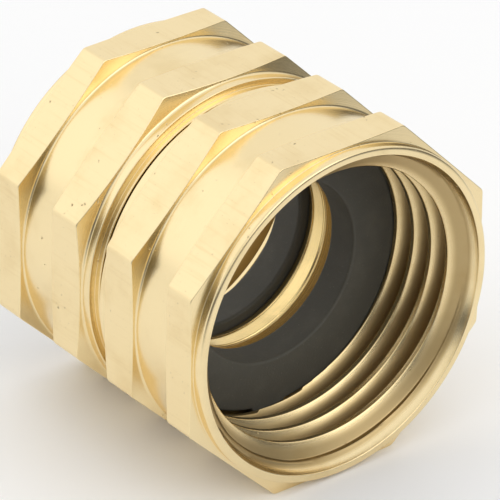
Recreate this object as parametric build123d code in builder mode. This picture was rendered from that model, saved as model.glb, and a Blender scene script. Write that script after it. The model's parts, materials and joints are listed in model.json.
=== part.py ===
"""Double female swivel union for garden hoses, lying on one flat of its nuts.

Two octagonal nuts turn freely on a short flanged sleeve, and each nut holds a
ported rubber washer against the sleeve. The fitting's axis is X, the front
mouth faces +X, and the origin is the middle of the sleeve. The hose threads
themselves are not cut here: each bore has the minor radius of its thread.
"""
import os
from math import cos, pi, radians, tan

from build123d import *

# 3/4-11.5 NH female hose thread, millimetres; the nut's outside is built up from it
thread_minor_radius = 12.35
thread_height = 1.3
thread_relief = 0.05  # relief groove beyond the major radius
mouth_bevel = 0.55  # mouth beyond the major radius
mouth_bevel_depth = 1.0
thread_lead_angle = 40.0  # lead-in cone, from the axis
thread_end_clearance = 0.15  # last thread to the washer's face

# Octagonal blank
flat_count = 8
thread_wall = 1.2  # thread's major radius out to the groove's floor
neck_step = 0.3  # groove's floor out to the flats
corner_round = 0.6  # radius on the eight long corners

# Widths along the axis, from the middle of the fitting out to one mouth
hub_gap = 0.2  # running clearance between the two nuts
hub_height = 0.6
gap_collar_width = 1.0
inner_band_width = 3.85
groove_width = 4.4
outer_band_width = 3.25
mouth_collar_width = 0.95

# Turned steps and their rounds
collar_step = 0.25  # flats down to both collars
hub_step = 0.6  # gap collar down to the hub
collar_edge_round = 0.12
mouth_edge_round = 0.35
wall_root_round = 0.25  # where a band's side wall meets a turned surface

# Lean of the bands' side walls, away from square to the axis
gap_wall_lean = 18.0
groove_wall_lean = 9.0
mouth_wall_lean = 5.0

# Sleeve that carries both nuts
sleeve_bore_radius = 8.8
sleeve_wall = 1.2
flange_thickness = 0.9
flange_clearance = 0.4  # flange rim to the nut's pocket
lip_depth = 0.7  # flared lip at each end of the bore
lip_rise = 0.3
flange_rim_round = 0.2
web_thickness = 0.9  # nut's inner wall, held between hub face and flange
web_hole_chamfer = 0.3
swivel_clearance = 0.05  # radial, nut on sleeve
end_float = 0.1  # axial, nut on sleeve

# Ported hose washers
washer_grip = 0.15  # rim beyond the thread's crests, which keeps the washer in
washer_hole_radius = 8.2
washer_thickness = 3.1
washer_edge_round = 0.25
washer_fit_clearance = 0.1  # radial, washer in its pocket
washer_seat_clearance = 0.05  # washer's back to the sleeve's end
ear_count = 4
ear_angle = -3.0  # degrees, first ear from +Y
ear_tip_clearance = 0.2  # ears to the floor of the relief groove
ear_root_depth = 1.0  # ears' roots, sunk inside the rim
ear_root_width = 4.2
ear_tip_width = 2.6
ear_thickness = 1.0
ear_tip_round = 0.4

# Places along the axis
hub_x = hub_gap / 2
gap_collar_x = hub_x + hub_height
inner_band_x = gap_collar_x + gap_collar_width
groove_x = inner_band_x + inner_band_width
outer_band_x = groove_x + groove_width
mouth_collar_x = outer_band_x + outer_band_width
mouth_x = mouth_collar_x + mouth_collar_width
web_x = hub_x + web_thickness
flange_x = web_x + end_float
sleeve_end_x = flange_x + flange_thickness
washer_back_x = sleeve_end_x + washer_seat_clearance
washer_face_x = washer_back_x + washer_thickness
ear_back_x = washer_face_x - ear_thickness
relief_back_x = ear_back_x - washer_fit_clearance
thread_end_x = washer_face_x + thread_end_clearance
thread_start_x = mouth_x - mouth_bevel_depth
lead_in_x = thread_start_x - thread_height / tan(radians(thread_lead_angle))

# Radii
thread_major_radius = thread_minor_radius + thread_height
neck_radius = thread_major_radius + thread_wall
flat_radius = neck_radius + neck_step
corner_radius = flat_radius / cos(pi / flat_count)
collar_radius = flat_radius - collar_step
hub_radius = collar_radius - hub_step
mouth_radius = thread_major_radius + mouth_bevel
relief_radius = thread_major_radius + thread_relief
washer_radius = thread_minor_radius + washer_grip
pocket_radius = washer_radius + washer_fit_clearance
sleeve_radius = sleeve_bore_radius + sleeve_wall
web_hole_radius = sleeve_radius + swivel_clearance
flange_radius = pocket_radius - flange_clearance
ear_radius = relief_radius - ear_tip_clearance
ear_root_radius = washer_radius - ear_root_depth
rim_radius = corner_radius + 1.0  # where the band walls leave the blank


def wall_shift(lean, radius):
    """Distance along the axis that a leaning wall moves from the flats to a radius."""
    return (radius - flat_radius) * tan(radians(lean))


def circle_edges(part, x, radius):
    """Edges of a turned part that are circles of this radius at this place."""
    rings = part.edges().filter_by(GeomType.CIRCLE)
    return rings.filter_by(
        lambda e: abs(e.arc_center.X - x) < 0.01 and abs(e.radius - radius) < 0.01
    )


# Front nut: an octagonal blank cut back to the turned section
with BuildPart() as front_nut:
    with BuildSketch(Plane.YZ.offset(hub_x)):
        RegularPolygon(flat_radius, flat_count, major_radius=False, rotation=90 - 180 / flat_count)
    extrude(amount=mouth_x - hub_x)
    fillet(front_nut.edges().filter_by(Axis.X), corner_round)
    with BuildSketch(Plane.XZ):
        with BuildLine():
            Polyline(
                (hub_x, web_hole_radius + web_hole_chamfer),
                (hub_x, hub_radius),
                (gap_collar_x, hub_radius),
                (gap_collar_x, collar_radius),
                (inner_band_x + wall_shift(gap_wall_lean, collar_radius), collar_radius),
                (inner_band_x + wall_shift(gap_wall_lean, rim_radius), rim_radius),
                (groove_x - wall_shift(groove_wall_lean, rim_radius), rim_radius),
                (groove_x - wall_shift(groove_wall_lean, neck_radius), neck_radius),
                (outer_band_x + wall_shift(groove_wall_lean, neck_radius), neck_radius),
                (outer_band_x + wall_shift(groove_wall_lean, rim_radius), rim_radius),
                (mouth_collar_x - wall_shift(mouth_wall_lean, rim_radius), rim_radius),
                (mouth_collar_x - wall_shift(mouth_wall_lean, collar_radius), collar_radius),
                (mouth_x, collar_radius),
                (mouth_x, mouth_radius),
                (thread_start_x, thread_major_radius),
                (lead_in_x, thread_minor_radius),
                (thread_end_x, thread_minor_radius),
                (thread_end_x, relief_radius),
                (relief_back_x, relief_radius),
                (relief_back_x, pocket_radius),
                (web_x, pocket_radius),
                (web_x, web_hole_radius + web_hole_chamfer),
                (web_x - web_hole_chamfer, web_hole_radius),
                (hub_x + web_hole_chamfer, web_hole_radius),
                close=True,
            )
        make_face()
    revolve(axis=Axis.X, mode=Mode.INTERSECT)
    wall_roots = (
        (inner_band_x + wall_shift(gap_wall_lean, collar_radius), collar_radius),
        (groove_x - wall_shift(groove_wall_lean, neck_radius), neck_radius),
        (outer_band_x + wall_shift(groove_wall_lean, neck_radius), neck_radius),
    )
    for root_x, root_radius in wall_roots:
        fillet(circle_edges(front_nut.part, root_x, root_radius), wall_root_round)
    fillet(circle_edges(front_nut.part, mouth_x, collar_radius), mouth_edge_round)
    fillet(circle_edges(front_nut.part, gap_collar_x, collar_radius), collar_edge_round)
    fillet(circle_edges(front_nut.part, hub_x, hub_radius), collar_edge_round)

# Rear nut: the same nut, turned end for end
with BuildPart() as rear_nut:
    add(front_nut.part, rotation=(0, 0, 180))

# Sleeve: a tube with a flange inside each nut and a flared lip at each end
with BuildPart() as sleeve:
    with BuildSketch(Plane.XZ):
        with BuildLine():
            half_section = Polyline(
                (0, sleeve_bore_radius),
                (sleeve_end_x - lip_depth, sleeve_bore_radius),
                (sleeve_end_x, sleeve_bore_radius + lip_rise),
                (sleeve_end_x, flange_radius),
                (flange_x, flange_radius),
                (flange_x, sleeve_radius),
                (0, sleeve_radius),
            )
            mirror(half_section, about=Plane.YZ)
        make_face()
    revolve(axis=Axis.X)
    for side in (-1, 1):
        fillet(circle_edges(sleeve.part, side * sleeve_end_x, flange_radius), flange_rim_round)

# Front washer: a thick ring with small ears that grip the nut's relief groove
with BuildPart() as front_washer:
    with BuildSketch(Plane.YZ.offset(washer_back_x)):
        Circle(washer_radius)
        Circle(washer_hole_radius, mode=Mode.SUBTRACT)
    extrude(amount=washer_thickness)
    fillet(circle_edges(front_washer.part, washer_face_x, washer_hole_radius), washer_edge_round)
    with BuildSketch(Plane.YZ.offset(ear_back_x)) as ears:
        with PolarLocations(0, ear_count, start_angle=ear_angle):
            Polygon(
                (ear_root_radius, -ear_root_width / 2),
                (ear_radius, -ear_tip_width / 2),
                (ear_radius, ear_tip_width / 2),
                (ear_root_radius, ear_root_width / 2),
                align=None,
            )
        ear_tips = [v for v in ears.vertices() if (v.Y**2 + v.Z**2) ** 0.5 > washer_radius]
        fillet(ear_tips, ear_tip_round)
    extrude(amount=ear_thickness)

# Rear washer: the same washer in the other nut
with BuildPart() as rear_washer:
    add(front_washer.part, rotation=(0, 0, 180))

# One STEP file for each piece
front_nut.part.label = "front_nut"
rear_nut.part.label = "rear_nut"
sleeve.part.label = "sleeve"
front_washer.part.label = "front_washer"
rear_washer.part.label = "rear_washer"

os.makedirs("parts", exist_ok=True)
export_step(front_nut.part, "parts/front_nut.step")
export_step(rear_nut.part, "parts/rear_nut.step")
export_step(sleeve.part, "parts/sleeve.step")
export_step(front_washer.part, "parts/front_washer.step")
export_step(rear_washer.part, "parts/rear_washer.step")
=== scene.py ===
"""Double female swivel union for garden hoses: the looks built round its CAD frame.

Two octagonal brass nuts with right-hand hose threads turn on a flanged brass
sleeve, and each holds a rubber washer. Lengths are metres, the axis is X and
the front mouth faces +X, as in the frame.
"""

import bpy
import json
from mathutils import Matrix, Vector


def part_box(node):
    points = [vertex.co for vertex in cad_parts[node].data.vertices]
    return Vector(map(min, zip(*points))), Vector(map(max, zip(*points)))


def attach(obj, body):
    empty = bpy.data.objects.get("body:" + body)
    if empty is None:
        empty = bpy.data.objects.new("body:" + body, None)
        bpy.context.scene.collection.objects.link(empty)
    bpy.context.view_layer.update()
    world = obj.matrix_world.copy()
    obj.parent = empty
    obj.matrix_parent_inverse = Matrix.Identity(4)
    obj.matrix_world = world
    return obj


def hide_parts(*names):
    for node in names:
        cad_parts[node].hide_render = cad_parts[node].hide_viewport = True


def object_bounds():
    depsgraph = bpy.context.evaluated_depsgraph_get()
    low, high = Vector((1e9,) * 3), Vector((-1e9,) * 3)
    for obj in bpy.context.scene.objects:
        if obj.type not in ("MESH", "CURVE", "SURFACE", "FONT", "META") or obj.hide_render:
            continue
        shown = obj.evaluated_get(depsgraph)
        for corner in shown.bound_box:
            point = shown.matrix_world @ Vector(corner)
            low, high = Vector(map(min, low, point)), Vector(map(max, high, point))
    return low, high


bl_info = {
    "name": "Swivel Union",
    "version": (1, 0, 0),
    "blender": (4, 5, 0),
    "location": "3D View > Sidebar > Union",
    "description": "Builds the nuts, sleeve, washers and stage of a garden-hose swivel union",
    "category": "Add Mesh",
}

import json
from math import cos, pi, radians, sin, tan

import bpy
import numpy as np
from bpy.props import FloatProperty, FloatVectorProperty, IntProperty, PointerProperty
from mathutils import Matrix, Vector

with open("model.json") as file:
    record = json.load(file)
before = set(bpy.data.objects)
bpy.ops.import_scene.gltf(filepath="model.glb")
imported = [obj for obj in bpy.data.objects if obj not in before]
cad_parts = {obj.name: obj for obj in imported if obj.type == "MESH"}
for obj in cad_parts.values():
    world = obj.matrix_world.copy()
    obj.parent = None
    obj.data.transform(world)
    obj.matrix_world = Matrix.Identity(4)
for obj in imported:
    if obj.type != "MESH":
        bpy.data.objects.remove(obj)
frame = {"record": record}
CAD_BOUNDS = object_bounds()
MM = 0.001
WELD = 1e-9  # points closer than this are one point
INCH = 25.4 * MM
NUT_LOW, NUT_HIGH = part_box("front_nut")
WASHER_LOW, WASHER_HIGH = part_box("front_washer")
SLEEVE_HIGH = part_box("sleeve")[1]
THREAD_MOUNT = frame["record"]["mounts"][0]
KEY_WAY = (-0.656, -0.510, 0.556)  # from the fitting towards the key softbox
FILL_WAY = (0.84, 0.12, 0.60)  # and towards the fill softbox
CAMERA_AIM = Vector((0.673, 0.691, -0.164)) * MM


# Sizes and colours that a user would change

def length(name, description, default):
    """A length property, in metres."""
    return FloatProperty(name=name, description=description, default=default, min=0.0,
                         unit="LENGTH", subtype="DISTANCE", precision=5)


def lean(name, description, default):
    """An angle property; the default is in degrees."""
    return FloatProperty(name=name, description=description, default=radians(default),
                         subtype="ANGLE")


def share(name, description, default):
    """A property from 0 to 1."""
    return FloatProperty(name=name, description=description, default=default, min=0.0, max=1.0,
                         subtype="FACTOR")


def colour(name, description, default):
    """A colour property, in linear light."""
    return FloatVectorProperty(name=name, description=description, default=default, size=3,
                               min=0.0, max=1.0, subtype="COLOR")


class NutSizes(bpy.types.PropertyGroup):
    """Outside and pocket of one nut, from the middle of the fitting out to its mouth."""
    flat_count: IntProperty(name="Flats", description="Flats round the nut", default=8, min=4)
    flat_radius: length("Flat radius", "Axis to a flat", NUT_HIGH.z)
    hub_x: length("Hub face", "Middle of the fitting to the hub's face", NUT_LOW.x)
    mouth_x: length("Mouth", "Middle of the fitting to the mouth's face", NUT_HIGH.x)
    corner_round: length("Corner round", "Radius on the long corners", 0.6 * MM)
    hub_height: length("Hub height", "Hub face to the gap collar", 0.6 * MM)
    gap_collar_width: length("Gap collar", "Width of the collar beside the gap", 1.0 * MM)
    inner_band_width: length("Inner band", "Width of the inner flats", 3.85 * MM)
    groove_width: length("Groove", "Width of the turned groove", 4.4 * MM)
    outer_band_width: length("Outer band", "Width of the outer flats", 3.25 * MM)
    collar_step: length("Collar step", "Flats down to the collars", 0.25 * MM)
    neck_step: length("Neck step", "Flats down to the groove's floor", 0.3 * MM)
    hub_step: length("Hub step", "Gap collar down to the hub", 0.6 * MM)
    gap_lean: lean("Gap wall lean", "Lean of the wall beside the gap", 18.0)
    groove_lean: lean("Groove wall lean", "Lean of the groove's walls", 9.0)
    mouth_lean: lean("Mouth wall lean", "Lean of the wall beside the mouth", 5.0)
    wall_root_round: length("Wall root", "Round at the foot of a wall", 0.2 * MM)
    hub_round: length("Hub round", "Round on the hub's and the gap collar's edges", 0.12 * MM)
    edge_break: length("Edge break", "Round left on a band's edges by tumbling", 0.07 * MM)
    mouth_edge_round: length("Mouth edge", "Round on the mouth's outer edge", 0.35 * MM)
    pocket_clearance: length("Pocket clearance", "Washer's rim to its pocket", 0.1 * MM)
    web_thickness: length("Web", "Thickness of the inner wall that turns on the sleeve", 0.9 * MM)
    web_hole_radius: length("Web hole", "Radius of the hole in the inner wall", 10.05 * MM)
    web_hole_chamfer: length("Web chamfer", "Chamfer on that hole", 0.3 * MM)


class ThreadSizes(bpy.types.PropertyGroup):
    """Right-hand 3/4-11.5 garden-hose thread inside each nut."""
    minor_radius: length("Minor radius", "Axis to the crests", THREAD_MOUNT["dims"]["r_mm"] * MM)
    height: length("Height", "Crests to roots", 1.3 * MM)
    per_inch: FloatProperty(name="Threads per inch", description="Crests in one inch",
                            default=11.5, min=1.0)
    crest_width: length("Crest", "Width of the flat on a crest", 0.41 * MM)
    flank_angle: lean("Flank", "Flank's angle from square to the axis", 30.0)
    corner_softness: share("Corner softness", "Rounding of crests and roots, as a share of a flank",
                           0.06)
    start_angle: lean("Start", "Where the first crest meets the mouth, from +Y", 165.0)
    bevel: length("Mouth bevel", "Mouth beyond the roots", 0.55 * MM)
    bevel_depth: length("Bevel depth", "Mouth's face to the first thread", 1.0 * MM)
    lead_start: length("Lead-in start", "Lead-in cone's wide end beyond the roots", 0.15 * MM)
    lead_angle: lean("Lead-in", "Lead-in cone's angle from the axis", 58.0)
    end_clearance: length("End clearance", "Last thread to the washer's face", 0.15 * MM)
    relief: length("Relief", "Relief groove beyond the roots", 0.05 * MM)
    relief_width: length("Relief width", "Relief groove's width behind the washer's face", 1.1 * MM)


class SleeveSizes(bpy.types.PropertyGroup):
    """Flanged sleeve that carries both nuts."""
    bore_radius: length("Bore", "Radius of the water way", 8.8 * MM)
    outer_radius: length("Neck", "Radius that the nuts turn on", 10.0 * MM)
    flange_radius: length("Flange", "Radius of both flanges", SLEEVE_HIGH.z)
    end_x: length("End", "Middle of the fitting to a flange's face", SLEEVE_HIGH.x)
    flange_thickness: length("Flange thickness", "Thickness of a flange", 0.9 * MM)
    lip_rise: length("Lip", "Bore's flare at each end", 0.3 * MM)
    front_lip_depth: length("Front lip", "Depth of the front flare", 1.35 * MM)
    rear_lip_depth: length("Rear lip", "Depth of the rear flare", 0.85 * MM)
    lip_step: length("Lip step", "Step where a flare meets the bore", 0.03 * MM)
    line_depth: length("Turned line", "Depth of the tool line beside each flare", 0.12 * MM)
    edge_round: length("Edge round", "Smallest turned edge, which the other rounds follow", 0.1 * MM)


class WasherSizes(bpy.types.PropertyGroup):
    """Ported rubber washer in each nut."""
    radius: length("Radius", "Axis to the rim", 12.5 * MM)
    hole_radius: length("Hole", "Axis to the port", 8.2 * MM)
    back_x: length("Back", "Middle of the fitting to the washer's back", WASHER_LOW.x)
    face_x: length("Face", "Middle of the fitting to the washer's face", WASHER_HIGH.x)
    ear_count: IntProperty(name="Ears", description="Ears round the rim", default=4, min=1)
    ear_angle: lean("Ear angle", "First ear from +Y", -3.0)
    ear_radius: length("Ear tip", "Axis to an ear's tip", 13.5 * MM)
    ear_width: length("Ear width", "Width of an ear halfway up", 3.0 * MM)
    ear_slope: length("Ear slope", "Width of an ear's sloping side", 0.5 * MM)
    ear_thickness: length("Ear thickness", "Thickness of an ear", 1.0 * MM)
    bead: length("Bead", "Front rim beyond the rest of the rim, spread under the last crest", 0.12 * MM)
    edge_round: length("Edge round", "Round on the moulded edges", 0.25 * MM)


class Looks(bpy.types.PropertyGroup):
    """Colours and wear of the finishes."""
    brass: colour("Brass", "Clean pale brass", (0.92, 0.75, 0.435))
    # tarnish also colours the painted shade inside the mouth; grime darkens the real specks and pits and
    # also paints shade into the thread's roots
    tarnish: colour("Tarnish", "Brass where it has dulled", (0.74, 0.55, 0.26))
    grime_and_root_shade: colour("Grime", "Dark specks and the dirt in the roots", (0.21, 0.14, 0.06))
    flat_roughness: share("Flats", "Roughness of the tumbled flats", 0.33)
    turned_roughness: share("Turned", "Roughness of the turned faces", 0.24)
    sleeve_roughness: share("Sleeve finish", "Roughness of the sleeve", 0.22)
    rubber_roughness: share("Rubber finish", "Roughness of the washers", 0.62)
    wear: share("Wear", "Strength of streaks, pits and specks", 1.0)
    sleeve: colour("Sleeve", "Brass of the sleeve", (0.92, 0.70, 0.32))
    rubber: colour("Rubber", "Washer rubber", (0.080, 0.076, 0.060))
    dust: colour("Dust", "Dust on the rubber", (0.30, 0.27, 0.20))


class StageSizes(bpy.types.PropertyGroup):
    """Floor, lights and camera."""
    floor_size: length("Floor", "Side of the floor", 6.0)
    distance: length("Distance", "Camera to its aim", 344.1 * MM)
    azimuth: lean("Azimuth", "Camera's bearing from +X, towards +Y", -38.709)
    elevation: lean("Elevation", "Camera's height above level", 29.790)
    roll: lean("Roll", "Camera's turn about its view", 0.985)
    lens: FloatProperty(name="Lens", description="Focal length in millimetres", default=298.3, min=1.0)
    light_distance: length("Light distance", "Middle of the fitting to a softbox", 0.6)
    key_size: length("Key size", "Side of the key softbox", 0.55)
    fill_size: length("Fill size", "Side of the fill softbox", 0.5)
    key_power: FloatProperty(name="Key", description="Power of the key softbox in watts",
                             default=0.2, min=0.0)
    fill_power: FloatProperty(name="Fill", description="Power of the fill softbox in watts",
                              default=0.7, min=0.0)
    sky: FloatProperty(name="Sky", description="Strength of the light from above", default=0.98, min=0.0)
    horizon: FloatProperty(name="Horizon", description="Strength of the light from the horizon",
                           default=0.06, min=0.0)


# Surfaces of revolution and of the octagonal blank

def blank_radius(angle, sizes):
    """Distance from the axis to the octagonal blank.

    On a flat it is flat radius / cos(angle from the flat's middle). On a corner it
    is where a ray meets the corner's circle: c cos d + sqrt(round² - (c sin d)²),
    with c the circle's distance from the axis and d the angle from the corner.
    """
    half = pi / sizes.flat_count
    from_flat = (angle + half) % (2 * half) - half
    from_corner = half - np.abs(from_flat)
    centre = (sizes.flat_radius - sizes.corner_round) / cos(half)
    flat = sizes.flat_radius / np.cos(from_flat)
    under_root = np.maximum(sizes.corner_round ** 2 - (centre * np.sin(from_corner)) ** 2, 0.0)
    corner = centre * np.cos(from_corner) + np.sqrt(under_root)
    touch_y = (sizes.flat_radius - sizes.corner_round) * tan(half)
    return np.where(np.abs(from_flat) > np.arctan2(touch_y, sizes.flat_radius), corner, flat)


def blank_angles(sizes, flat_steps=25, corner_steps=7, beside=0.004):
    """Angles of the columns once round the blank, with the first one repeated at the end.

    Each flat has even steps, and each corner's circle has even steps round its arc. A
    flat's outer columns lie a small angle beside its corners, which keeps its shading flat.
    """
    half = pi / sizes.flat_count
    inner = sizes.flat_radius - sizes.corner_round
    centre = inner / cos(half)
    arc = np.linspace(-half, half, corner_steps)
    corner = np.arctan2(sizes.corner_round * np.sin(arc), centre + sizes.corner_round * np.cos(arc))
    edge = np.arctan2(inner * tan(half), sizes.flat_radius)
    flat = np.linspace(-edge + beside, edge - beside, flat_steps)
    sector = np.concatenate([flat, half + corner])
    turns = np.arange(sizes.flat_count)[:, None] * 2 * half
    angle = (turns + sector).ravel()
    return np.append(angle, angle[0] + 2 * pi)


def even_angles(count=192):
    """Angles of even columns once round, with the first one repeated at the end."""
    return np.linspace(0.0, 2 * pi, count + 1)


def outline(corners, angle):
    """Corner list of (x, radius, round) as arrays of corners by columns, and the rounds."""
    x = np.stack([np.broadcast_to(c[0], angle.shape) for c in corners])
    radius = np.stack([np.broadcast_to(c[1], angle.shape) for c in corners])
    return x, radius, np.array([c[2] for c in corners])


def rounded(x, radius, rounds, steps=5, most=0.4, beside=1.2):
    """Rows of an outline with its inner corners rounded.

    A corner P becomes the parabola (1 - t)²A + 2t(1 - t)P + t²C, from A on the side
    before it to C on the side after it. Each is as far away as the round, and at most
    the given share of its side. A close row, beside times as far, on both sides keeps
    the shading of the sides straight.
    """
    point = np.stack([x, radius], axis=-1)
    side = np.diff(point, axis=0)
    span = np.linalg.norm(side, axis=-1, keepdims=True)
    way = side / span
    reach = np.minimum(rounds[1:-1, None, None], most * np.minimum(span[:-1], span[1:]))
    corner = point[1:-1]
    t = np.linspace(0.0, 1.0, steps)[:, None, None, None]
    start, end = corner - reach * way[:-1], corner + reach * way[1:]
    curve = (1 - t) ** 2 * start + 2 * t * (1 - t) * corner + t ** 2 * end
    before, after = corner - beside * reach * way[:-1], corner + beside * reach * way[1:]
    rows = np.concatenate([before[None], curve, after[None]]).swapaxes(0, 1)
    rows = np.concatenate([point[:1], rows.reshape(-1, *corner.shape[1:]), point[-1:]])
    return rows[..., 0], rows[..., 1]


def soft_ramp(value, softness):
    """0 below zero and value above it, with a parabola between -softness and +softness."""
    bend = (value + softness) ** 2 / (4 * softness)
    return np.where(value < -softness, 0.0, np.where(value > softness, value, bend))


def wide_end(thread):
    """Radius where the mouth's bevel ends and the lead-in cone starts."""
    return thread.minor_radius + thread.height + thread.lead_start


def turn_rows(thread, flank, pitch, bend_rows=(-1.2, -0.48, 0.48, 1.2), flank_rows=(0.25, 0.5, 0.75)):
    """Places of the rows in one turn, as shares of the pitch from the middle of a crest.

    Rows stand in the middle of the crest and of the root, halfway from the crest's middle
    to its edge and at shares of the flank, and gather at both bends of a flank by shares of
    the softness that rounds them.
    """
    half_crest, soft = thread.crest_width / 2, thread.corner_softness * flank
    side = [bend + row * soft for bend in (half_crest, half_crest + flank) for row in bend_rows]
    side += [half_crest + row * flank for row in flank_rows] + [half_crest / 2]
    side = np.sort(np.array(side)) / pitch
    return np.concatenate([[0.0], side, [0.5], 1.0 - side[::-1]])


def thread_rows(angle, thread, start_x, end_x):
    """Rows of the right-hand thread, from its start at the mouth to its end.

    Row k of the column at angle a lies at start - pitch (turns_k - a / 2 pi), so the
    rows follow the helix, and rows beyond an end are held at that end. The radius is
    a wave of crests, flanks and roots along the axis, or the lead-in cone where that
    is wider: its wide end + (x - start) tan(lead-in).
    """
    pitch = INCH / thread.per_inch
    flank = thread.height * tan(thread.flank_angle)
    half_crest = thread.crest_width / 2
    beyond = 3  # turns past the length, which cover both slanting ends
    count = int((start_x - end_x) / pitch) + beyond
    turns = (np.arange(-1, count)[:, None] + turn_rows(thread, flank, pitch)).ravel()[:, None]
    wound = (angle - thread.start_angle) / (2 * pi)
    x = np.clip(start_x - pitch * (turns - wound), end_x, start_x)
    from_crest = np.abs(((start_x - x) / pitch + wound + 0.5) % 1.0 - 0.5) * pitch
    climb = (from_crest - half_crest) / flank
    wave = soft_ramp(climb, thread.corner_softness) - soft_ramp(climb - 1.0, thread.corner_softness)
    cone = wide_end(thread) + (x - start_x) * tan(thread.lead_angle)
    return x, np.maximum(thread.minor_radius + thread.height * wave, cone)


def add_piece(name, x, radius, angle, reverse=False):
    """Mesh object from a grid of rows and columns, with its place in its mesh.

    A point is (x, radius cos(angle), radius sin(angle)), or that turned half round Z
    for a reversed piece. Equal points are welded, which closes the seam and the held
    ends of the thread, and faces that lose a corner by it become triangles.
    """
    point = np.stack([x, radius * np.cos(angle), radius * np.sin(angle)], axis=-1).reshape(-1, 3)
    _, first, welded = np.unique(np.round(point / WELD).astype(np.int64), axis=0,
                                 return_index=True, return_inverse=True)
    grid = welded.reshape(x.shape)
    quad = np.stack([grid[:-1, :-1], grid[:-1, 1:], grid[1:, 1:], grid[1:, :-1]], axis=-1).reshape(-1, 4)
    repeated = quad == np.roll(quad, -1, axis=1)
    lost = repeated.sum(axis=1)
    triangle = quad[lost == 1][~repeated[lost == 1]].reshape(-1, 3)
    turn = np.array([-1.0, -1.0, 1.0]) if reverse else np.ones(3)
    mesh = bpy.data.meshes.new(name)
    mesh.from_pydata(point[first] * turn, [], quad[lost == 0].tolist() + triangle.tolist())
    mesh.polygons.foreach_set("use_smooth", np.ones(len(mesh.polygons), dtype=bool))
    mesh.update()
    piece = bpy.data.objects.new(name, mesh)
    bpy.context.scene.collection.objects.link(piece)
    return piece


def nut_sheet(sizes, thread, washer):
    """Closed grid of one nut: outside on the octagonal blank, mouth, thread, pocket and web.

    A band's side wall is a cone: it moves along the axis by (radius - flat radius) tan(lean).
    """
    angle = blank_angles(sizes)
    blank = blank_radius(angle, sizes)
    flat, edge, root = sizes.flat_radius, sizes.edge_break, sizes.wall_root_round
    collar, neck = flat - sizes.collar_step, flat - sizes.neck_step
    hub = collar - sizes.hub_step
    gap_collar_x = sizes.hub_x + sizes.hub_height
    inner_band_x = gap_collar_x + sizes.gap_collar_width
    groove_x = inner_band_x + sizes.inner_band_width
    outer_band_x = groove_x + sizes.groove_width
    mouth_collar_x = outer_band_x + sizes.outer_band_width
    hole, chamfer = sizes.web_hole_radius, sizes.web_hole_chamfer
    roots = thread.minor_radius + thread.height
    start_x = sizes.mouth_x - thread.bevel_depth
    end_x = washer.face_x + thread.end_clearance
    relief_x = washer.face_x - thread.relief_width
    pocket = washer.radius + sizes.pocket_clearance
    web_x = sizes.hub_x + sizes.web_thickness
    gap, groove, mouth = tan(sizes.gap_lean), tan(sizes.groove_lean), tan(sizes.mouth_lean)
    outside = outline([
        (sizes.hub_x, hole + chamfer, 0.0),
        (sizes.hub_x, hub, sizes.hub_round),
        (gap_collar_x, hub, edge),
        (gap_collar_x, collar, sizes.hub_round),
        (inner_band_x + (collar - flat) * gap, collar, root),
        (inner_band_x + (blank - flat) * gap, blank, edge),
        (groove_x - (blank - flat) * groove, blank, edge),
        (groove_x - (neck - flat) * groove, neck, root),
        (outer_band_x + (neck - flat) * groove, neck, root),
        (outer_band_x + (blank - flat) * groove, blank, edge),
        (mouth_collar_x - (blank - flat) * mouth, blank, edge),
        (mouth_collar_x - (collar - flat) * mouth, collar, edge),
        (sizes.mouth_x, collar, sizes.mouth_edge_round),
        (sizes.mouth_x, roots + thread.bevel, edge),
        (start_x, wide_end(thread), 0.0),
    ], angle)
    inside = outline([
        (end_x, roots + thread.relief, 0.0),
        (relief_x, roots + thread.relief, edge),
        (relief_x, pocket, edge),
        (web_x, pocket, edge),
        (web_x, hole + chamfer, edge),
        (web_x - chamfer, hole, edge),
        (sizes.hub_x + chamfer, hole, edge),
        (sizes.hub_x, hole + chamfer, 0.0),
    ], angle)
    parts = [rounded(*outside), thread_rows(angle, thread, start_x, end_x), rounded(*inside)]
    x = np.concatenate([p[0] for p in parts])
    radius = np.concatenate([p[1] for p in parts])
    return x, radius, angle


def flare_foot(sizes, foot_x, inward):
    """Corners from a flare's foot across the tool line beside it; inward is the way along X."""
    bore, edge = sizes.bore_radius, sizes.edge_round
    line_floor, floor_start, floor_end, line_end = bore + sizes.line_depth, edge, 2.2 * edge, 3 * edge
    return [
        (foot_x, bore + sizes.lip_step, edge / 2),
        (foot_x + inward * floor_start, line_floor, edge / 3),
        (foot_x + inward * floor_end, line_floor, edge / 3),
        (foot_x + inward * line_end, bore, edge / 3),
    ]


def sleeve_sheet(sizes):
    """Closed grid of the sleeve: bore with a flare at each end, two flanges, neck between."""
    angle = even_angles()
    end, edge, mouth = sizes.end_x, sizes.edge_round, sizes.bore_radius + sizes.lip_rise
    flange_x = end - sizes.flange_thickness
    front_foot = flare_foot(sizes, end - sizes.front_lip_depth, -1)
    rear_foot = flare_foot(sizes, -end + sizes.rear_lip_depth, 1)
    corners = [
        (0.0, sizes.outer_radius, 0.0),
        (flange_x, sizes.outer_radius, edge),
        (flange_x, sizes.flange_radius, edge),
        (end, sizes.flange_radius, 2 * edge),
        (end, mouth, 3 * edge),
        *front_foot,
        *reversed(rear_foot),
        (-end, mouth, 3 * edge),
        (-end, sizes.flange_radius, 2 * edge),
        (-flange_x, sizes.flange_radius, edge),
        (-flange_x, sizes.outer_radius, edge),
        (0.0, sizes.outer_radius, 0.0),
    ]
    x, radius = rounded(*outline(corners, angle))
    return x, radius, angle


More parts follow.
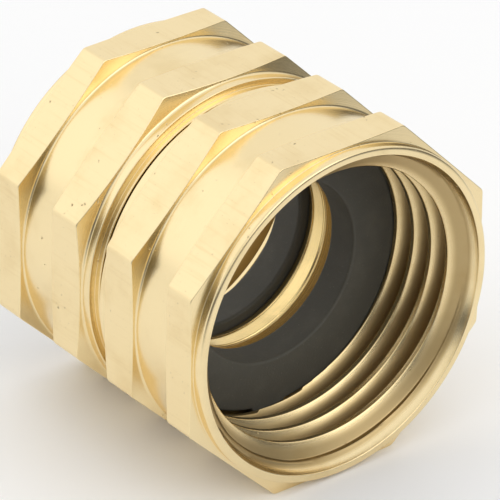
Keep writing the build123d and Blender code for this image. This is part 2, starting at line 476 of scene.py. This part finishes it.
def washer_sheet(sizes):
    """Closed grid of a washer: a ring whose front rim swells into a bead and ears.

    An ear adds its height times a soft step down from its middle,
    1 - smoothstep(|sideways distance| from the flat top to the end of its slope), and
    between the ears the rim stands out by the bead.
    """
    angle = even_angles(count=360)
    spacing = 2 * pi / sizes.ear_count
    from_ear = (angle - sizes.ear_angle + spacing / 2) % spacing - spacing / 2
    sideways = np.abs(sizes.radius * np.sin(from_ear))
    slope = np.clip((sideways - sizes.ear_width / 2) / sizes.ear_slope + 0.5, 0.0, 1.0)
    ear = sizes.radius + (sizes.ear_radius - sizes.radius) * (1 - slope ** 2 * (3 - 2 * slope))
    ear = np.maximum(ear, sizes.radius + sizes.bead)
    ear_back_x = sizes.face_x - sizes.ear_thickness
    middle = (sizes.radius + sizes.hole_radius) / 2
    soft = sizes.edge_round
    sharp = soft / 5  # foot of the ears and the bead
    corners = [
        (sizes.back_x, middle, 0.0),
        (sizes.back_x, sizes.radius, soft),
        (ear_back_x, sizes.radius, sharp),
        (ear_back_x + sharp, ear, soft),
        (sizes.face_x, ear, soft),
        (sizes.face_x, sizes.hole_radius, soft),
        (sizes.back_x, sizes.hole_radius, soft),
        (sizes.back_x, middle, 0.0),
    ]
    x, radius = rounded(*outline(corners, angle))
    return x, radius, angle


# Finishes

class Wire:
    """Number on a node's socket. Arithmetic on wires adds the Math nodes that work it out."""

    def __init__(self, finish, socket):
        self.finish, self.socket = finish, socket

    def maths(self, operation, *values):
        """Math node of this operation on the values."""
        return self.finish.node("ShaderNodeMath", {"operation": operation}, values)

    def __add__(self, other):
        return self.maths("ADD", self, other)

    def __sub__(self, other):
        return self.maths("SUBTRACT", self, other)

    def __rsub__(self, other):
        return self.maths("SUBTRACT", other, self)

    def __mul__(self, other):
        return self.maths("MULTIPLY", self, other)

    def __pow__(self, other):
        return self.maths("POWER", self, other)

    __radd__, __rmul__ = __add__, __mul__

    def between(self, low, high):
        """0 up to low, 1 from high and a smooth climb between; falls where low is above high."""
        return self.finish.node("ShaderNodeMapRange", {"interpolation_type": "SMOOTHSTEP"},
                                {"Value": self, "From Min": low, "From Max": high})


class Nodes:
    """Node tree of a material or a world, whose nodes are added by one method."""

    def __init__(self, owner):
        owner.use_nodes = True
        self.tree = owner.node_tree
        self.tree.nodes.clear()

    def node(self, kind, settings=None, inputs=(), output=0):
        """Adds a node: its settings first, then its sockets, by name or by place."""
        node = self.tree.nodes.new(kind)
        for name, value in (settings or {}).items():
            setattr(node, name, value)
        for key, value in inputs.items() if isinstance(inputs, dict) else enumerate(inputs):
            if isinstance(value, Wire):
                self.tree.links.new(value.socket, node.inputs[key])
            else:
                node.inputs[key].default_value = value
        return Wire(self, node.outputs[output])

    def at(self, x, y, z):
        """Vector of three numbers."""
        return self.node("ShaderNodeCombineXYZ", inputs=(x, y, z))

    def noise(self, where, scale, detail=2.0, rough=0.5, output=0):
        """Fractal noise from 0 to 1, with scale in cycles for each millimetre."""
        return self.node("ShaderNodeTexNoise", inputs={
            "Vector": where, "Scale": scale, "Detail": detail, "Roughness": rough}, output=output)

    def cells(self, where, scale):
        """Distance to the nearest of scattered points, in cells of 1 / scale."""
        return self.node("ShaderNodeTexVoronoi", inputs={"Vector": where, "Scale": scale})

    def mix(self, share_of_second, first, second):
        """Blend of two colours."""
        return self.node("ShaderNodeMix", {"data_type": "RGBA"},
                         {0: share_of_second, 6: first, 7: second}, output=2)

    def end(self, kind, shader):
        """Links the finished shader to the tree's output."""
        output = self.tree.nodes.new(kind)
        self.tree.links.new(shader.socket, output.inputs["Surface"])


class Finish(Nodes):
    """Material that reads the piece's own place, in millimetres."""

    def __init__(self, name):
        self.material = bpy.data.materials.new(name)
        super().__init__(self.material)
        place = self.node("ShaderNodeTexCoord", output="Object")
        self.place = self.node("ShaderNodeVectorMath", {"operation": "SCALE"},
                               {0: place, "Scale": 1 / MM})
        self.x, self.y, self.z = (self.node("ShaderNodeSeparateXYZ", inputs=(self.place,), output=axis)
                                  for axis in "XYZ")
        self.radius = (self.y ** 2 + self.z ** 2) ** 0.5

    def surface(self, colour, roughness, height, depth, metallic):
        """Ends the material: a Principled surface with a bump from height, in metres of depth."""
        normal = self.node("ShaderNodeBump", inputs={
            "Strength": 1.0, "Distance": depth, "Height": height})
        shader = self.node("ShaderNodeBsdfPrincipled", inputs={
            "Base Color": colour, "Roughness": roughness, "Metallic": metallic, "Normal": normal})
        self.end("ShaderNodeOutputMaterial", shader)
        return self.material


def rgba(linear):
    """Colour property with full opacity."""
    return (*linear, 1.0)


def nut_brass(looks, sizes, thread):
    """Pale brass: streaks along the axis, pits and specks on the flats, lathe lines where turned.

    A face is turned where it faces an end or lies below the flats, and inside the
    mouth the brass is darkened by painted shade, deepest from just beyond the thread's crests to its
    roots.
    """
    brass = Finish("Nut brass")
    flat, crest, mouth = sizes.flat_radius / MM, thread.minor_radius / MM, wide_end(thread) / MM
    square = brass.node("ShaderNodeTexCoord", output="Normal")
    along = brass.node("ShaderNodeSeparateXYZ", inputs=(square,), output="X")
    facing_end = along.maths("ABSOLUTE", along).between(0.5, 0.7)
    below_flats = brass.radius.between(flat - 0.12, flat - 0.2)
    turned = facing_end.maths("MAXIMUM", facing_end, below_flats)
    flats = 1 - turned
    # painted shade: the brass inside the mouth is darkened as if shaded deep in the hollow
    inside = brass.radius.between(mouth + 0.2, mouth)
    # painted shade: the thread's roots are darkened where shade falls between the crests
    painted_root_shade = brass.radius.between(crest + 0.05, crest + 0.75) * inside

    streaks = brass.noise(brass.at(brass.x * 0.12, brass.y * 3.2, brass.z * 3.2), 1.0, 4.0, 0.6)
    scratches = brass.noise(brass.at(brass.x * 0.5, brass.y * 9.0, brass.z * 9.0), 1.0, 2.0, 0.5)
    lathe = brass.noise(brass.at(brass.x * 14.0, brass.radius * 14.0, 0.0), 1.0, 2.0, 0.6)
    clouds = brass.noise(brass.place, 0.22, 4.0, 0.6)
    grain = brass.noise(brass.place, 9.0, 3.0, 0.6)
    pit_field = brass.noise(brass.place, 0.5, 1.0, 0.5)
    shake = brass.noise(brass.place, 5.0, output="Color")
    ragged = brass.node("ShaderNodeVectorMath", {"operation": "MULTIPLY_ADD"},
                        {0: shake, 1: (0.35, 0.35, 0.35), 2: brass.place})
    pits = brass.cells(ragged, 1.1).between(0.15, 0.05) * pit_field.between(0.55, 0.66)
    small_pits = brass.cells(ragged, 3.0).between(0.17, 0.07) * grain.between(0.52, 0.60)

    dull = clouds.between(0.45, 0.75) * 0.35 + streaks.between(0.5, 0.8) * 0.3 * flats
    dull = dull + lathe.between(0.5, 0.75) * 0.12 * turned
    # painted shade: inside the mouth and in the thread's roots the colour is pulled towards tarnish
    dull = (dull + inside * 0.35 + painted_root_shade * 0.4) * looks.wear
    # painted shade: the root term darkens the roots towards the grime colour; the pits are real
    dark = (pits * 0.75 + small_pits * 0.45 * flats + painted_root_shade * 0.5) * looks.wear
    base = brass.mix(dull.maths("MINIMUM", dull, 1.0), rgba(looks.brass), rgba(looks.tarnish))
    base = brass.mix(dark.maths("MINIMUM", dark, 0.9), base, rgba(looks.grime_and_root_shade))
    rough = looks.flat_roughness * flats + looks.turned_roughness * turned
    rough = rough + (streaks - 0.5) * 0.14 * flats + (clouds - 0.5) * 0.12 + dark * 0.3
    height = scratches * 0.25 * flats + streaks * 0.25 * flats + grain * 0.16 + lathe * 0.22 * turned
    height = height - pits * 1.6 - small_pits * 0.7 * flats
    return brass.surface(base, rough, height, depth=0.02 * MM, metallic=1.0)


def sleeve_brass(looks):
    """Bright turned brass with fine lathe lines round the bore and soft tarnish."""
    brass = Finish("Sleeve brass")
    lathe = brass.noise(brass.at(brass.x * 12.0, brass.radius * 12.0, 0.0), 1.0, 2.0, 0.6)
    clouds = brass.noise(brass.place, 0.35, 3.0, 0.6)
    dull = clouds.between(0.45, 0.75) * 0.4 + lathe.between(0.5, 0.75) * 0.2
    base = brass.mix(dull, rgba(looks.sleeve), rgba(looks.tarnish))
    rough = looks.sleeve_roughness + (clouds - 0.5) * 0.15
    return brass.surface(base, rough, lathe, depth=0.006 * MM, metallic=1.0)


def washer_rubber(looks):
    """Matt charcoal rubber with a fine grain, pale dust and a few specks."""
    rubber = Finish("Washer rubber")
    grain = rubber.noise(rubber.place, 6.0, 4.0, 0.65)
    clouds = rubber.noise(rubber.place, 0.3, 3.0, 0.6)
    specks = rubber.cells(rubber.place, 2.2).between(0.10, 0.05)
    dust = clouds.between(0.45, 0.85) * 0.12 + grain.between(0.55, 0.8) * 0.15 + specks * 0.4
    base = rubber.mix(dust.maths("MINIMUM", dust, 1.0), rgba(looks.rubber), rgba(looks.dust))
    rough = looks.rubber_roughness + (grain - 0.5) * 0.3
    return rubber.surface(base, rough, grain + specks * 0.4, depth=0.03 * MM, metallic=0.0)


def floor_paint():
    """Pale floor with painted shade far in front of the mouth, where only the brass mirrors it."""
    paint = Finish("Pale floor")
    pale, painted_shade = (0.94, 0.94, 0.94), (0.20, 0.20, 0.20)
    away = (paint.x ** 2 + paint.y ** 2) ** 0.5
    # painted shade on the floor, which darkens what the brass mirrors in front of the mouth
    far_front = away.between(50.0, 180.0) * paint.x.between(-20.0, 40.0)
    base = paint.mix(far_front, rgba(pale), rgba(painted_shade))
    return paint.surface(base, roughness=0.7, height=0.0, depth=0.0, metallic=0.0)


# Operators, one for each group of like pieces and one for the stage

SIDES = (("front", False), ("rear", True))  # the rear pieces are turned half round Z


class AddNuts(bpy.types.Operator):
    """Adds both threaded nuts in place of the plain CAD nuts"""
    bl_idname = "union.add_nuts"
    bl_label = "Nuts"

    def execute(self, context):
        sizes, thread = context.scene.union_nut, context.scene.union_thread
        finish = nut_brass(context.scene.union_looks, sizes, thread)
        sheet = nut_sheet(sizes, thread, context.scene.union_washer)
        for side, reverse in SIDES:
            nut = add_piece(f"{side}_threaded_nut", *sheet, reverse=reverse)
            nut.data.materials.append(finish)
            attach(nut, f"{side}_nut")
            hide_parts(f"{side}_nut")
        return {"FINISHED"}


class AddSleeve(bpy.types.Operator):
    """Adds the turned sleeve in place of the plain CAD sleeve"""
    bl_idname = "union.add_sleeve"
    bl_label = "Sleeve"

    def execute(self, context):
        sleeve = add_piece("turned_sleeve", *sleeve_sheet(context.scene.union_sleeve))
        sleeve.data.materials.append(sleeve_brass(context.scene.union_looks))
        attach(sleeve, "sleeve")
        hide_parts("sleeve")
        return {"FINISHED"}


class AddWashers(bpy.types.Operator):
    """Adds both moulded washers in place of the plain CAD washers"""
    bl_idname = "union.add_washers"
    bl_label = "Washers"

    def execute(self, context):
        finish = washer_rubber(context.scene.union_looks)
        sheet = washer_sheet(context.scene.union_washer)
        for side, reverse in SIDES:
            washer = add_piece(f"{side}_rubber_washer", *sheet, reverse=reverse)
            washer.data.materials.append(finish)
            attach(washer, f"{side}_nut")
            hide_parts(f"{side}_washer")
        return {"FINISHED"}


class AddStage(bpy.types.Operator):
    """Adds the floor, the soft lights and the camera"""
    bl_idname = "union.add_stage"
    bl_label = "Stage"

    def execute(self, context):
        stage = context.scene.union_stage
        add_floor(context.scene, stage)
        add_light("key_softbox", KEY_WAY, stage.light_distance, stage.key_size, stage.key_power)
        add_light("fill_softbox", FILL_WAY, stage.light_distance, stage.fill_size, stage.fill_power)
        add_sky(context.scene, stage)
        add_camera(context.scene, stage)
        return {"FINISHED"}


def add_floor(scene, stage):
    """Square floor that the fitting rests on."""
    half, level = stage.floor_size / 2, Vector(CAD_BOUNDS[0]).z
    mesh = bpy.data.meshes.new("floor")
    square = [(-half, -half, level), (half, -half, level), (half, half, level), (-half, half, level)]
    mesh.from_pydata(square, [], [(0, 1, 2, 3)])
    floor = bpy.data.objects.new("floor", mesh)
    scene.collection.objects.link(floor)
    floor.data.materials.append(floor_paint())


def add_light(name, towards, distance, side, power):
    """Square softbox at a distance from the fitting, facing it."""
    lamp = bpy.data.lights.new(name, "AREA")
    lamp.size, lamp.energy = side, power
    light = bpy.data.objects.new(name, lamp)
    way = Vector(towards).normalized()
    facing = way.to_track_quat("Z", "Y").to_matrix().to_4x4()
    light.matrix_world = Matrix.Translation(way * distance) @ facing
    bpy.context.scene.collection.objects.link(light)


def add_sky(scene, stage):
    """Soft light from above and behind; in front of the mouth the horizon is dim."""
    scene.world = bpy.data.worlds.new("soft surround")
    sky = Nodes(scene.world)
    way = sky.node("ShaderNodeTexCoord", output="Generated")
    forward, height = (sky.node("ShaderNodeSeparateXYZ", inputs=(way,), output=axis) for axis in "XZ")
    above, behind = height.between(0.12, 0.45), forward.between(0.15, -0.35)
    lit = above.maths("MAXIMUM", above, behind)
    strength = stage.horizon + lit * (stage.sky - stage.horizon)
    white = rgba((1.0, 1.0, 1.0))
    background = sky.node("ShaderNodeBackground", inputs={"Color": white, "Strength": strength})
    sky.end("ShaderNodeOutputWorld", background)
    scene.view_settings.view_transform = "Standard"


def add_camera(scene, stage):
    """Camera at a bearing, height and distance from its aim, turned about its view by the roll."""
    level = cos(stage.elevation)
    back = Vector((level * cos(stage.azimuth), level * sin(stage.azimuth), sin(stage.elevation)))
    place = CAMERA_AIM + back * stage.distance
    right = Vector((0.0, 0.0, 1.0)).cross(back).normalized()
    right = Matrix.Rotation(stage.roll, 3, back) @ right
    up = back.cross(right)
    lens = bpy.data.cameras.new("camera")
    lens.lens, lens.sensor_width = stage.lens, 36.0
    lens.clip_start, lens.clip_end = 0.01, 20.0
    camera = bpy.data.objects.new("camera", lens)
    camera.matrix_world = Matrix((
        (right.x, up.x, back.x, place.x),
        (right.y, up.y, back.y, place.y),
        (right.z, up.z, back.z, place.z),
        (0.0, 0.0, 0.0, 1.0),
    ))
    scene.collection.objects.link(camera)
    scene.camera = camera


class UnionPanel(bpy.types.Panel):
    """Sidebar list of the pieces"""
    bl_idname = "UNION_PT_pieces"
    bl_label = "Swivel Union"
    bl_space_type = "VIEW_3D"
    bl_region_type = "UI"
    bl_category = "Union"

    def draw(self, context):
        for operator in (AddNuts, AddSleeve, AddWashers, AddStage):
            self.layout.operator(operator.bl_idname, text=operator.bl_label)


GROUPS = {"union_nut": NutSizes, "union_thread": ThreadSizes, "union_sleeve": SleeveSizes,
          "union_washer": WasherSizes, "union_looks": Looks, "union_stage": StageSizes}
CLASSES = (*GROUPS.values(), AddNuts, AddSleeve, AddWashers, AddStage, UnionPanel)


def register():
    """Registers the classes and hangs the sizes on the scene."""
    for cls in CLASSES:
        bpy.utils.register_class(cls)
    for name, group in GROUPS.items():
        setattr(bpy.types.Scene, name, PointerProperty(type=group))


def unregister():
    """Takes the sizes off the scene and unregisters the classes."""
    for name in GROUPS:
        delattr(bpy.types.Scene, name)
    for cls in reversed(CLASSES):
        bpy.utils.unregister_class(cls)


def main():
    """Builds every piece and the stage."""
    register()
    bpy.ops.union.add_nuts()
    bpy.ops.union.add_sleeve()
    bpy.ops.union.add_washers()
    bpy.ops.union.add_stage()


if __name__ == "__main__":
    main()
